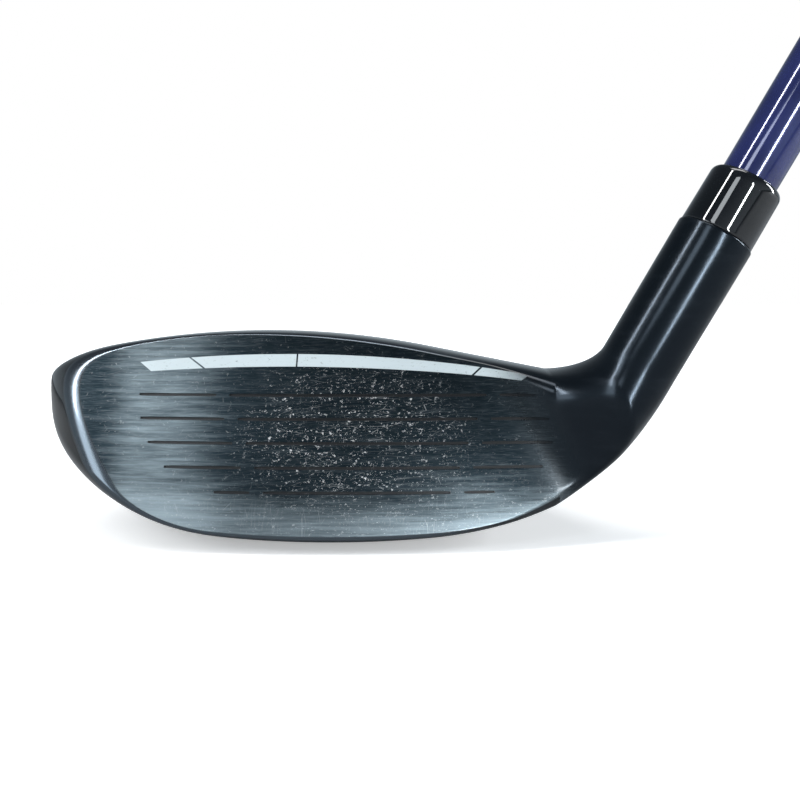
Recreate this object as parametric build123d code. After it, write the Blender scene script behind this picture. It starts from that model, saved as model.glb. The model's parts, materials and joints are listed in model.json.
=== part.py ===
from build123d import *
from math import cos, pi, radians, sin, tan
import os

# Hybrid golf club, right-handed, in millimetres.
# +Z up, -Y towards the target, +X from the toe towards the heel.
# The origin is where the sole touches the ground at address.

# ---------------------------------------------------------------- club
LIE_DEG = 60.5
LOFT_DEG = 21.0
CLUB_LENGTH = 1020.0            # ground to the butt end, along the shaft
SHAFT_GROUND_X = 32.0           # where the shaft's axis meets the ground
SHAFT_Y = -8.0                  # the upright plane that holds the shaft's axis

# ---------------------------------------------------------------- head outline
TOE_X = -54.6
TOE_Y = 8.0
TOE_Z = 26.0
TOE_FLAT = 0.02                 # depth of the tiny flat that closes the toe
REAR_Y = 42.0
FRONT_Y = -16.8                 # front of the rounded body, before the face is cut flat
CROWN_Z = 36.1
CROWN_PEAK_X = -14.0
CROWN_PEAK_Y = 4.0
CROWN_BOW = 0.0034              # drop per square millimetre away from the peak
SOLE_LOW_X = -2.0
SOLE_BOW = 0.0026
SOLE_LOW_Y = 0.0
HEEL_START_X = 15.0             # crown and sole turn up towards the hosel from here
HEEL_CROWN_BOW = 0.0035
HEEL_SOLE_BOW = 0.005
REAR_MID_X = 2.0
HEEL_REAR_BOW = 0.0135
FRONT_BOW = 0.0008
FRONT_Z = 5.0                   # height of the foremost line
REAR_Z = 14.0                   # height of the rearmost line
FULL_SECTION = (2.5, 2.0, 2.3, 2.0)   # squareness of the four quarters of a section
ROUND_SECTION = (2.0, 2.0, 2.0, 2.0)
SECTION_POINTS = 60
UPRIGHT_ROWS = 26

# How the toe rounds off: where each outline starts to close in, and how squarely it does
CROWN_FADE = (-40.0, 2.8)
SOLE_FADE = (-14.0, 2.75)
FRONT_FADE = (-22.0, 1.6)
REAR_FADE = (0.0, 2.0)
REAR_Z_FADE = (-20.0, 2.0)
MIDDLE_FADE = (-25.0, 2.0)

# ---------------------------------------------------------------- hosel
HOSEL_R = 6.43
HOSEL_TOP_Z = 52.1
HEEL_X = 36.0                   # past this the sections fan round the crotch
CROTCH_R = 9.5
FAN_ROWS = 12
HEEL_FILL = 1.75                # how early the heel's outer side turns into the hosel
HOSEL_SPARE = 26.0              # straight stretch that is cut to length afterwards

# ---------------------------------------------------------------- face
FACE_Y = -15.6                  # the face's line at ground height
FACE_BULGE_R = 300.0
FACE_ROLL_R = 300.0
FACE_MID_Z = 17.0
FACE_HEEL_X = 33.0              # the face runs out into the heel past this, at its middle height
FACE_HEEL_SLANT = 0.6           # and that much nearer the toe for each millimetre higher up
FACE_RUNOUT_R = 9.0
FACE_GRID = 5.0                 # spacing of the points that the face's surface is laid through
PLATE_T = 2.4
PLATE_RIM = 1.3                 # body left round the face plate
PLATE_HEEL_X = 36.0             # the plate's heel end, past the last score line
GROOVE_DEPTH = 0.3
GROOVE_WIDTH = 0.6
GROOVE_PITCH = 3.9
GROOVE_TOP_Z = 25.4
GROOVE_GAP = 2.3
GROOVE_CENTRE = (-19.4, 24.5)   # ends of the top line's middle stretch
GROOVE_NARROW = 1.6             # each lower line's middle stretch is shorter by this at both ends
GROOVE_TOE_ENDS = (-35.2, -34.7, -33.1, -30.0, -21.3)
GROOVE_HEEL_ENDS = (32.8, 35.0, 35.5, 33.8, 25.5)

# ---------------------------------------------------------------- shell
WALL = 2.0
CAVITY_HEEL_X = 30.0
CROWN_T = 0.9
CROWN_EDGE = 4.5                # crown joint's distance from the rear outline
CROWN_LEDGE = 3.0
CROWN_REAR_STATIONS = (-38.0, -26.0, -12.0, 2.0, 14.0, 24.0)
CROWN_FRONT_STATIONS = (25.0, 10.0, -8.0, -26.0, -40.0)
CROWN_FRONT_GAP = 2.0
SLOT_LENGTH = 54.0
SLOT_WIDTH = 3.0
SLOT_Y = -5.0
BADGE_LENGTH = 30.0
BADGE_WIDTH = 8.0
BADGE_T = 0.7
BADGE_Y = 12.0
TOE_MASS_R = 8.0
TOE_MASS_T = 3.0

# ---------------------------------------------------------------- sole weight
PORT_Y = 28.0
PORT_TILT_DEG = 15.0
PORT_WALL = 1.8
WEIGHT_R = 7.5
WEIGHT_T = 4.6
WEIGHT_GAP = 0.08
WEIGHT_RECESS = 0.5
PAD_T = 0.8
SCREW_R = 2.5
SCREW_LENGTH = 11.0
SCREW_HEAD_R = 4.2
SCREW_HEAD_T = 2.4
SCREW_GAP = 0.05
SOCKET_ACROSS = 4.0
SOCKET_DEPTH = 1.8
CLIP_R = 3.6
CLIP_T = 0.6
CLIP_GROOVE = 0.4

# ---------------------------------------------------------------- shaft, ferrule and grip
SHAFT_TIP_R = 4.70
SHAFT_TIP_BORE_R = 2.6
SHAFT_PARALLEL = 75.0
SHAFT_BUTT_R = 7.6
SHAFT_WALL = 1.1
HOSEL_DEPTH = 32.0
BOND_T = 0.1
STOP_T = 3.0
TIP_WEIGHT_LENGTH = 14.0
FERRULE_HEIGHT = 10.0
FERRULE_R = 6.18
FERRULE_TOP_R = 6.02
FERRULE_ROUND = 1.1
GRIP_LENGTH = 268.0
GRIP_MOUTH_R = 8.9
GRIP_BUTT_R = 12.4
TAPE_T = 0.15
CAP_T = 6.0
CAP_R = 13.3
VENT_R = 2.0

LIE = radians(LIE_DEG)
LOFT = radians(LOFT_DEG)


# ================================================================ head surface
def fade(kind, x, end):
    """1 from the kind's start inwards, and round to 0 at end."""
    start, power = kind
    t = min(max((start - x) / (start - end), 0.0), 1.0)
    return (1.0 - t**power) ** (1.0 / power)


def heel_turn(x):
    return max(x - HEEL_START_X, 0.0) ** 2


def upright_profile(x, inset):
    """The sizes of the upright section at x: top, bottom, front and rear with their heights and places."""
    toe_x = TOE_X + inset
    crown = CROWN_Z - inset - CROWN_BOW * (x - CROWN_PEAK_X) ** 2 + HEEL_CROWN_BOW * heel_turn(x)
    sole = inset + SOLE_BOW * (x - SOLE_LOW_X) ** 2 + HEEL_SOLE_BOW * heel_turn(x)
    rear = REAR_Y - inset - HEEL_REAR_BOW * max(x - REAR_MID_X, 0.0) ** 2
    front = FRONT_Y + inset + FRONT_BOW * x**2
    middle = fade(MIDDLE_FADE, x, toe_x)
    return {
        "top": TOE_Z + (crown - TOE_Z) * fade(CROWN_FADE, x, toe_x),
        "bottom": TOE_Z + (sole - TOE_Z) * fade(SOLE_FADE, x, toe_x),
        "front": TOE_Y + (front - TOE_Y) * fade(FRONT_FADE, x, toe_x),
        "rear": TOE_Y + (rear - TOE_Y) * fade(REAR_FADE, x, toe_x),
        "top_y": TOE_Y + (CROWN_PEAK_Y - TOE_Y) * middle,
        "bottom_y": TOE_Y + (SOLE_LOW_Y - TOE_Y) * middle,
        "front_z": TOE_Z + (FRONT_Z + sole - TOE_Z) * middle,
        "rear_z": TOE_Z + (REAR_Z - TOE_Z) * fade(REAR_Z_FADE, x, toe_x),
    }


def section(p, squareness):
    """Points (y, z) round a section made of four superellipse quarters."""
    points = []
    for i in range(SECTION_POINTS + 1):
        quarter, part = divmod((i % SECTION_POINTS) * 4.0 / SECTION_POINTS, 1.0)
        power = 2.0 / squareness[int(quarter)]
        c = max(cos(part * pi / 2), 0.0) ** power
        s = max(sin(part * pi / 2), 0.0) ** power
        if quarter == 0:
            y = p["top_y"] - (p["top_y"] - p["front"]) * c
            z = p["front_z"] + (p["top"] - p["front_z"]) * s
        elif quarter == 1:
            y = p["top_y"] + (p["rear"] - p["top_y"]) * s
            z = p["rear_z"] + (p["top"] - p["rear_z"]) * c
        elif quarter == 2:
            y = p["bottom_y"] + (p["rear"] - p["bottom_y"]) * c
            z = p["rear_z"] - (p["rear_z"] - p["bottom"]) * s
        else:
            y = p["bottom_y"] - (p["bottom_y"] - p["front"]) * s
            z = p["front_z"] - (p["front_z"] - p["bottom"]) * c
        points.append((y, z))
    return points


def upright_rows(inset, heel_x):
    """Sections from the toe to heel_x, closer together where the toe rounds off."""
    toe_x = TOE_X + inset
    first_x = toe_x + TOE_FLAT
    out = []
    for i in range(UPRIGHT_ROWS):
        x = first_x + (heel_x - first_x) * (1.0 - cos(i / (UPRIGHT_ROWS - 1) * pi / 2))
        out.append([(x, y, z) for y, z in section(upright_profile(x, inset), FULL_SECTION)])
    return out


def fan_rows():
    """Sections that turn about the crotch, from the upright heel section to the round hosel."""
    start = upright_profile(HEEL_X, 0.0)
    pivot_z = start["top"] + CROTCH_R
    axis_r = sin(LIE) * (SHAFT_GROUND_X - HEEL_X) + cos(LIE) * pivot_z
    hosel = {
        "top": pivot_z - axis_r + HOSEL_R,
        "bottom": pivot_z - axis_r - HOSEL_R,
        "front": SHAFT_Y - HOSEL_R,
        "rear": SHAFT_Y + HOSEL_R,
        "top_y": SHAFT_Y,
        "bottom_y": SHAFT_Y,
        "front_z": pivot_z - axis_r,
        "rear_z": pivot_z - axis_r,
    }
    out = []
    for i in range(1, FAN_ROWS + 1):
        t = i / FAN_ROWS
        gentle = t * t * (3.0 - 2.0 * t)
        early = 1.0 - (1.0 - t) ** HEEL_FILL
        pace = {"top": t, "bottom": early, "rear": early, "front_z": early, "rear_z": early}
        p = {k: start[k] + (hosel[k] - start[k]) * pace.get(k, gentle) for k in start}
        squareness = [a + (b - a) * gentle for a, b in zip(FULL_SECTION, ROUND_SECTION)]
        turn = t * LIE
        row = []
        for y, z in section(p, squareness):
            reach = pivot_z - z
            row.append((HEEL_X + reach * sin(turn), y, pivot_z - reach * cos(turn)))
        out.append(row)
    return out


def hosel_rows(last_row, rows=6):
    """Straight stretch of the hosel, past its finished height, which is cut to length later."""
    out = []
    for i in range(1, rows + 1):
        step = HOSEL_SPARE * i / rows
        out.append([(x + step * cos(LIE), y, z + step * sin(LIE)) for x, y, z in last_row])
    return out


def closed_solid(rows):
    """Solid inside a grid of sections, closed by a flat face at each end."""
    side = Face.make_surface_from_array_of_points([[Vector(*p) for p in row] for row in rows], 0.1, None, 3, 3)
    rims = [edge for edge in side.edges() if edge.is_closed and abs(edge.length) > 0.01]
    caps = [Face(Wire([edge])) for edge in rims]
    return Solid(Shell([side] + caps))


def body_solid():
    rows = upright_rows(0.0, HEEL_X)
    rows += fan_rows()
    rows += hosel_rows(rows[-1])
    return closed_solid(rows)


def inner_solid(inset):
    return closed_solid(upright_rows(inset, CAVITY_HEEL_X))


# ================================================================ face
def face_y(x, z):
    """The face: lofted back, bulged heel to toe, rolled top to bottom, and run out forwards into the heel."""
    plane = FACE_Y + z * tan(LOFT)
    bulge = x**2 / (2 * FACE_BULGE_R)
    roll = (z - FACE_MID_Z) ** 2 / (2 * FACE_ROLL_R)
    heel_x = FACE_HEEL_X - FACE_HEEL_SLANT * (z - FACE_MID_Z)
    runout = max(x - heel_x, 0.0) ** 2 / (2 * FACE_RUNOUT_R)
    return plane + bulge + roll - runout


def face_layer(start, thickness):
    """Solid between the face moved back by start and the same moved back by start + thickness."""
    rows = []
    for i in range(-14, 13):
        x = i * FACE_GRID
        heights = [j * FACE_GRID for j in range(-3, 13)]
        rows.append([Vector(x, face_y(x, z) + start, z) for z in heights])
    sheet = Face.make_surface_from_array_of_points(rows, 0.02, None, 3, 3)
    return Solid.extrude(sheet, Vector(0, thickness, 0))


def upright_box(x0, x1, y0, y1, z0, z1):
    return Pos((x0 + x1) / 2, (y0 + y1) / 2, (z0 + z1) / 2) * Box(x1 - x0, y1 - y0, z1 - z0)


def plate_room():
    """The face plate's room: a layer of the face, inside a rim that stays on the body."""
    inside = closed_solid(upright_rows(PLATE_RIM, PLATE_HEEL_X))
    return largest(face_layer(0.0, PLATE_T) & inside)


def groove_spans(row):
    """Start and end along X of the three stretches of a score line, counted from the top row."""
    centre = 0.5 * (GROOVE_CENTRE[0] + GROOVE_CENTRE[1])
    half = 0.5 * (GROOVE_CENTRE[1] - GROOVE_CENTRE[0]) - row * GROOVE_NARROW
    inner_toe, inner_heel = centre - half, centre + half
    toe = (GROOVE_TOE_ENDS[row], inner_toe - GROOVE_GAP)
    heel = (inner_heel + GROOVE_GAP, GROOVE_HEEL_ENDS[row])
    return (toe, (inner_toe, inner_heel), heel)


def groove_cutters():
    cutters = []
    for row in range(len(GROOVE_TOE_ENDS)):
        z = GROOVE_TOP_Z - row * GROOVE_PITCH
        for x0, x1 in groove_spans(row):
            cutters.append(upright_box(x0, x1, -40, 40, z - GROOVE_WIDTH / 2, z + GROOVE_WIDTH / 2))
    return cutters


def largest(shape):
    return max(shape.solids(), key=lambda solid: solid.volume)


# ================================================================ head shell
def crown_outline(margin):
    """Plan outline of the crown joint, margin inside the rear outline and behind the face's top edge."""
    rear = [(x, rear_at(x) - margin) for x in CROWN_REAR_STATIONS]
    front = [(x, face_y(x, crown_at(x)) + 0.5 * margin + CROWN_FRONT_GAP) for x in CROWN_FRONT_STATIONS]
    return make_face(Spline(*rear, *front, periodic=True))


def rear_at(x):
    return upright_profile(x, 0.0)["rear"]


def crown_at(x):
    return upright_profile(x, 0.0)["top"]


def crown_column(margin):
    return extrude(Pos(0, 0, REAR_Z + 4.0) * crown_outline(margin), 60, dir=(0, 0, 1))


def crown_plate(outer, under):
    return largest((outer - under) & crown_column(CROWN_EDGE))


def slot_column():
    """The sole's flex slot, a long round-ended opening behind the leading edge."""
    outline = SlotOverall(SLOT_LENGTH, SLOT_WIDTH)
    return extrude(Pos(SOLE_LOW_X, SLOT_Y, -5) * outline, 12)


def badge_column():
    outline = SlotOverall(BADGE_LENGTH, BADGE_WIDTH)
    return extrude(Pos(SOLE_LOW_X, BADGE_Y, -5) * outline, 14)


# ================================================================ sole weight
def port_plane():
    """Plane on the sole at the weight port, with its Z axis straight out of the sole."""
    tilt = radians(PORT_TILT_DEG)
    reach = (PORT_Y - SOLE_LOW_Y) / (REAR_Y - SOLE_LOW_Y)
    power = FULL_SECTION[2]
    z = REAR_Z - REAR_Z * (1.0 - reach**power) ** (1.0 / power)
    return Plane(origin=(0, PORT_Y, z), x_dir=(1, 0, 0), z_dir=(0, sin(tilt), -cos(tilt)))


def disc(plane, radius, start, end):
    """Round solid on a plane's Z axis, between two distances along it."""
    return plane * Pos(0, 0, (start + end) / 2) * Cylinder(radius, end - start)


def weight_levels():
    """Distances along the port's axis: outer face, seat, pad's far side, bottom of the screw's hole."""
    face = -WEIGHT_RECESS
    seat = face - WEIGHT_T
    pad = seat - PAD_T
    return face, seat, pad, pad - SCREW_LENGTH


def port_cutters():
    face, seat, pad, hole_end = weight_levels()
    plane = port_plane()
    pocket = disc(plane, WEIGHT_R + WEIGHT_GAP, pad, 6.0)
    hole = disc(plane, SCREW_R + SCREW_GAP, hole_end, pad)
    return [pocket, hole]


def port_boss():
    """Wall round the weight's pocket, and the narrower post below it that the screw is tapped into."""
    pad, hole_end = weight_levels()[2:]
    cup = disc(port_plane(), WEIGHT_R + WEIGHT_GAP + PORT_WALL, pad - PORT_WALL, 2.0)
    post = disc(port_plane(), SCREW_R + SCREW_GAP + PORT_WALL, hole_end - PORT_WALL, pad)
    return cup + post


def sole_weight():
    face, seat, pad, hole_end = weight_levels()
    plane = port_plane()
    puck = disc(plane, WEIGHT_R, seat, face)
    puck -= disc(plane, SCREW_HEAD_R + WEIGHT_GAP, face - SCREW_HEAD_T - 0.3, face + 1)
    puck -= disc(plane, SCREW_R + SCREW_GAP, seat - 1, face)
    rim = puck.edges().filter_by(GeomType.CIRCLE).sort_by(SortBy.RADIUS)[-2:]
    puck = chamfer(rim, 0.35)
    notches = [
        plane * Rot(0, 0, 90 * k + 45) * Pos(WEIGHT_R, 0, face) * Cylinder(0.9, 1.6) for k in range(4)
    ]
    return largest(puck - notches)


def weight_pad():
    face, seat, pad, hole_end = weight_levels()
    plane = port_plane()
    ring = disc(plane, WEIGHT_R - 0.5, pad, seat)
    return largest(ring - disc(plane, CLIP_R + 0.4, pad - 1, seat + 1))


def weight_screw():
    face, seat, pad, hole_end = weight_levels()
    plane = port_plane()
    under_head = face - SCREW_HEAD_T
    screw = disc(plane, SCREW_HEAD_R, under_head, face)
    screw = chamfer(screw.edges().filter_by(GeomType.CIRCLE).sort_by(Axis(plane.origin, plane.z_dir))[-1:], 0.4)
    screw += disc(plane, SCREW_R, hole_end + 1.0, under_head)
    socket = plane * Pos(0, 0, face - SOCKET_DEPTH) * extrude(
        RegularPolygon(SOCKET_ACROSS / 2, 6, major_radius=False), SOCKET_DEPTH + 1
    )
    neck = disc(plane, SCREW_R + 1, seat - CLIP_T - 0.05, seat - 0.05)
    neck -= disc(plane, SCREW_R - CLIP_GROOVE, seat - 2, seat + 1)
    return largest(screw - socket - neck)


def weight_clip():
    """Open ring in the screw's neck that keeps the screw in the weight."""
    seat = weight_levels()[1]
    plane = port_plane()
    ring = disc(plane, CLIP_R, seat - CLIP_T - 0.05, seat - 0.05)
    ring -= disc(plane, SCREW_R - CLIP_GROOVE, seat - 2, seat + 1)
    gap = plane * Pos(CLIP_R, 0, seat - CLIP_T / 2) * Box(2 * CLIP_R, 1.6, 3 * CLIP_T)
    return largest(ring - gap)


# ================================================================ shaft, ferrule and grip
def shaft_plane(distance):
    """Plane square to the shaft, at a distance up the shaft from the ground."""
    return Plane(
        origin=(SHAFT_GROUND_X + distance * cos(LIE), SHAFT_Y, distance * sin(LIE)),
        x_dir=(0, 1, 0),
        z_dir=(cos(LIE), 0, sin(LIE)),
    )


def turned(points):
    """Solid of revolution about the shaft's axis from (radius, distance up the shaft) points."""
    base = shaft_plane(0)
    profile = make_face(Polyline(*points, close=True))
    upright = Plane.XZ * profile
    return base.location * revolve(upright, Axis.Z)


HOSEL_TOP = HOSEL_TOP_Z / sin(LIE)
BORE_END = HOSEL_TOP - HOSEL_DEPTH
TIP_END = BORE_END + STOP_T
TAPER_START = TIP_END + SHAFT_PARALLEL
CAP_START = CLUB_LENGTH - CAP_T
GRIP_START = CLUB_LENGTH - GRIP_LENGTH


def shaft_r(distance):
    """Outer radius of the shaft: parallel tip, then an even taper to the butt."""
    t = min(max((distance - TAPER_START) / (CAP_START - TAPER_START), 0.0), 1.0)
    return SHAFT_TIP_R + (SHAFT_BUTT_R - SHAFT_TIP_R) * t


def hosel_cutters():
    """The shaft's hole, and everything above the finished height of the hosel."""
    bore = disc(shaft_plane(0), SHAFT_TIP_R + BOND_T, BORE_END, HOSEL_TOP + 1)
    above = disc(shaft_plane(0), 4 * HOSEL_R, HOSEL_TOP, HOSEL_TOP + 60)
    return [bore, above]


def shaft():
    return turned([
        (SHAFT_TIP_BORE_R, TIP_END),
        (SHAFT_TIP_R, TIP_END),
        (SHAFT_TIP_R, TAPER_START),
        (SHAFT_BUTT_R, CAP_START),
        (SHAFT_BUTT_R - SHAFT_WALL, CAP_START),
        (SHAFT_TIP_BORE_R, TAPER_START),
    ])


def ferrule():
    inner = SHAFT_TIP_R + 0.02
    top = HOSEL_TOP + FERRULE_HEIGHT
    body = turned([(inner, HOSEL_TOP), (FERRULE_R, HOSEL_TOP), (FERRULE_TOP_R, top), (inner, top)])
    rim = body.edges().filter_by(GeomType.CIRCLE)
    upper = [e for e in rim if abs(e.radius - FERRULE_TOP_R) < 0.01]
    return largest(fillet(upper, FERRULE_ROUND))


def bond_epoxy():
    return turned([
        (SHAFT_TIP_R, TIP_END),
        (SHAFT_TIP_R + BOND_T, TIP_END),
        (SHAFT_TIP_R + BOND_T, HOSEL_TOP),
        (SHAFT_TIP_R, HOSEL_TOP),
    ])


def hosel_stop():
    return disc(shaft_plane(0), SHAFT_TIP_R, BORE_END, TIP_END)


def tip_weight():
    return disc(shaft_plane(0), SHAFT_TIP_BORE_R, TIP_END, TIP_END + TIP_WEIGHT_LENGTH)


def grip_tape():
    lower, upper = GRIP_START + 2, CAP_START
    return turned([
        (shaft_r(lower), lower),
        (shaft_r(lower) + TAPE_T, lower),
        (shaft_r(upper) + TAPE_T, upper),
        (shaft_r(upper), upper),
    ])


def grip_sleeve():
    lower, upper = GRIP_START, CAP_START
    lip = 3.0
    return turned([
        (shaft_r(lower) + TAPE_T, lower),
        (GRIP_MOUTH_R - 0.6, lower),
        (GRIP_MOUTH_R, lower + lip),
        (GRIP_BUTT_R, upper),
        (shaft_r(upper) + TAPE_T, upper),
    ])


def grip_cap():
    body = turned([
        (VENT_R, CAP_START),
        (CAP_R - 0.3, CAP_START),
        (CAP_R, CAP_START + 1.5),
        (CAP_R - 0.6, CLUB_LENGTH - 1.6),
        (CAP_R - 3.2, CLUB_LENGTH),
        (VENT_R, CLUB_LENGTH),
    ])
    return body


# ================================================================ assembly
def head_parts():
    outer = body_solid()
    outer = largest(outer - face_layer(0.0, -60.0) - hosel_cutters())
    skim = face_layer(0.0, GROOVE_DEPTH)
    grooved = largest(outer - [skim & cutter for cutter in groove_cutters()])
    cavity = inner_solid(WALL) - face_layer(PLATE_T, -60.0)
    under_crown = inner_solid(CROWN_T)
    room = plate_room()
    wall = outer - inner_solid(WALL)
    crown = crown_plate(outer, under_crown)
    window = (under_crown & crown_column(CROWN_EDGE + CROWN_LEDGE)) & upright_box(-80, 80, -60, 60, REAR_Z + 4, 60)
    boss = port_boss() & outer
    body = grooved - cavity + boss - room - crown - window - port_cutters()
    slot = slot_column() & wall
    body = largest(body - slot_column())
    badge_skin = outer - inner_solid(BADGE_T)
    badge = largest(badge_skin & badge_column())
    body = largest(body - badge)
    mass = (inner_solid(WALL) - inner_solid(WALL + TOE_MASS_T)) & (
        Pos(-30, 14, 0) * Cylinder(TOE_MASS_R, 30)
    )
    return {
        "head_body": body,
        "face_plate": largest(grooved & room),
        "crown_plate": crown,
        "slot_insert": largest(slot),
        "sole_badge": badge,
        "toe_mass": largest(mass),
    }


def club_parts():
    parts = head_parts()
    parts.update({
        "sole_weight": sole_weight(),
        "weight_pad": weight_pad(),
        "weight_screw": weight_screw(),
        "weight_clip": weight_clip(),
        "hosel_stop": hosel_stop(),
        "bond_epoxy": bond_epoxy(),
        "tip_weight": tip_weight(),
        "ferrule": ferrule(),
        "shaft": shaft(),
        "grip_tape": grip_tape(),
        "grip_sleeve": grip_sleeve(),
        "grip_cap": grip_cap(),
    })
    return parts


os.makedirs("parts", exist_ok=True)
for name, solid in club_parts().items():
    export_step(solid, f"parts/{name}.step")
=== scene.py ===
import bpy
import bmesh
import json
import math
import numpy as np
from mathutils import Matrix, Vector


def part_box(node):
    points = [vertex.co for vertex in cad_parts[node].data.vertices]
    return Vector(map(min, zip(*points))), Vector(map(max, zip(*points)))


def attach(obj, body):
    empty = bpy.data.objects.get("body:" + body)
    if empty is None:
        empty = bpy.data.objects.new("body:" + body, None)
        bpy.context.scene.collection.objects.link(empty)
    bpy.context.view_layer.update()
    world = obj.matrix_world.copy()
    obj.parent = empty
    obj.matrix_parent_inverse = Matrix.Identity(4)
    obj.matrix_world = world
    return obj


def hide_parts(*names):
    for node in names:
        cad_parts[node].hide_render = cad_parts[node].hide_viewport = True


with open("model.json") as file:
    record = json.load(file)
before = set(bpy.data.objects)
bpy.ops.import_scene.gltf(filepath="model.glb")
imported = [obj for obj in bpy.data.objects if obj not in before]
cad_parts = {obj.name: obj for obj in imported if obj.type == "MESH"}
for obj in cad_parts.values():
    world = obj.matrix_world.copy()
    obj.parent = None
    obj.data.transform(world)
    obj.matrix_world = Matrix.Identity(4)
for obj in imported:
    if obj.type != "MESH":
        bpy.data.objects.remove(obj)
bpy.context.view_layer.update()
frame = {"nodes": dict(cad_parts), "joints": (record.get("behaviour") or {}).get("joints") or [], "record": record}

# %% [markdown]
# # A hybrid golf club
# A hybrid's head is a small hollow steel shell. A lofted face closes its front, a lacquered crown its
# top, and a hosel, which is the neck at the heel, holds the shaft. The pieces were designed in
# millimetres, and this lesson builds their looks in the same place and at the same size.
# Blender works in metres here, so one constant turns millimetres into metres.

MM = 0.001
MOUNTS = {mount["name"]: mount for mount in frame["record"]["mounts"]}
NODES = frame["nodes"]

# %% [markdown]
# ## The form of the head
# The head's skin is a row of closed sections, from the toe to the hosel. Each section is made of four
# quarters of a superellipse, which is an ellipse whose corners can be filled out. The crown and the
# sole bow gently, and everything closes in towards the toe. Writing the form as a few formulas, and
# not pushing points by hand, keeps every reflection on the glossy lacquer smooth.

# %% Driving sizes, in millimetres
LIE = math.radians(60.5)
LOFT = math.radians(21.0)
HEAD_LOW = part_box("head_body")[0] / MM
TOE = (HEAD_LOW.x, 8.0, 26.0)
HEEL_X = 36.0
CROTCH_R = 9.5
HOSEL_R = 6.43
SHAFT_X = 32.0
SHAFT_Y = MOUNTS["grip_hold"]["pos_m"][1] / MM
HOSEL_TOP = 52.1 / math.sin(LIE)    # along the shaft's axis, from the ground
FILL = (2.5, 2.0, 2.3, 2.0)         # how far each quarter of a section fills its corner; 2 is round
print("toe at", round(TOE[0], 2), "mm, shaft plane at", round(SHAFT_Y, 2), "mm")


# %% How the head closes in towards the toe
# For each outline: where it starts to close in, and how squarely it does.
CLOSING = {"top": (-40.0, 2.8), "bottom": (-14.0, 2.75), "front": (-22.0, 1.6), "rear": (0.0, 2.0),
           "rear_z": (-20.0, 2.0), "middle": (-25.0, 2.0)}


def fade(outline, x):
    """1 over most of the head, and round to 0 at the toe."""
    start, power = CLOSING[outline]
    way = np.clip((start - x) / (start - TOE[0]), 0.0, 1.0)
    return (1.0 - way**power) ** (1.0 / power)


# %% The outlines of the head
CROWN_Z, CROWN_PEAK_X, CROWN_PEAK_Y, CROWN_BOW = 36.1, -14.0, 4.0, 0.0034
SOLE_LOW_X, SOLE_BOW = -2.0, 0.0026
HEEL_START_X, HEEL_CROWN_BOW, HEEL_SOLE_BOW = 15.0, 0.0035, 0.005
REAR_Y, REAR_Z, REAR_MID_X, REAR_BOW = 42.0, 14.0, 2.0, 0.0135
FRONT_Y, FRONT_Z, FRONT_BOW = -16.8, 5.0, 0.0008


def profile(x):
    """Top, bottom, front and rear of the upright section at x, with their heights and places."""
    heel = np.maximum(x - HEEL_START_X, 0.0) ** 2
    crown = CROWN_Z - CROWN_BOW * (x - CROWN_PEAK_X) ** 2 + HEEL_CROWN_BOW * heel
    sole = SOLE_BOW * (x - SOLE_LOW_X) ** 2 + HEEL_SOLE_BOW * heel
    rear = REAR_Y - REAR_BOW * np.maximum(x - REAR_MID_X, 0.0) ** 2
    front = FRONT_Y + FRONT_BOW * x**2
    middle = fade("middle", x)
    return {
        "top": TOE[2] + (crown - TOE[2]) * fade("top", x),
        "bottom": TOE[2] + (sole - TOE[2]) * fade("bottom", x),
        "front": TOE[1] + (front - TOE[1]) * fade("front", x),
        "rear": TOE[1] + (rear - TOE[1]) * fade("rear", x),
        "top_y": TOE[1] + (CROWN_PEAK_Y - TOE[1]) * middle,
        "bottom_y": TOE[1] * (1.0 - middle),
        "front_z": TOE[2] + (FRONT_Z + sole - TOE[2]) * middle,
        "rear_z": TOE[2] + (REAR_Z - TOE[2]) * fade("rear_z", x),
    }


middle_section = profile(0.0)
print("head height at the middle:", round(float(middle_section["top"] - middle_section["bottom"]), 2), "mm")


# %% One section
AROUND = np.linspace(0.0, 4.0, 1201)[:-1]    # way round a section, counted in quarters


def section(p, fill=FILL):
    """Points (y, z) round one section, from the foremost point over the crown to the sole."""
    quarter, part = np.divmod(AROUND, 1.0)
    power = 2.0 / np.array(fill)[quarter.astype(int)]
    c = np.cos(part * math.pi / 2) ** power
    s = np.sin(part * math.pi / 2) ** power
    y = np.select([quarter == 0, quarter == 1, quarter == 2], [
        p["top_y"] - (p["top_y"] - p["front"]) * c,
        p["top_y"] + (p["rear"] - p["top_y"]) * s,
        p["bottom_y"] + (p["rear"] - p["bottom_y"]) * c,
    ], p["bottom_y"] - (p["bottom_y"] - p["front"]) * s)
    z = np.select([quarter == 0, quarter == 1, quarter == 2], [
        p["front_z"] + (p["top"] - p["front_z"]) * s,
        p["rear_z"] + (p["top"] - p["rear_z"]) * c,
        p["rear_z"] - (p["rear_z"] - p["bottom"]) * s,
    ], p["front_z"] - (p["front_z"] - p["bottom"]) * c)
    return y, z


# %% [markdown]
# ## The face
# A face is almost flat: it leans back by its loft, bulges a little from heel to toe and rolls a little
# from top to bottom. At the heel it sweeps forwards into the neck. The front of each section is pressed
# back onto it. A hard cut would leave a knife edge, so the two surfaces are joined by a smooth maximum:
# a narrow one round the toe and the top, where the club has a fine rounded rim, and a wide one at the
# heel, where the face melts into the hosel.

# %% Smooth steps and a smooth maximum
def smooth_step(low, high, x):
    way = np.clip((x - low) / (high - low), 0.0, 1.0)
    return way * way * (3.0 - 2.0 * way)


def soft_max(a, b, soft):
    """The larger of a and b, rounded over where they differ by less than soft."""
    overlap = np.maximum(soft - np.abs(a - b), 0.0) / soft
    return np.maximum(a, b) + overlap**2 * soft / 4.0


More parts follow.
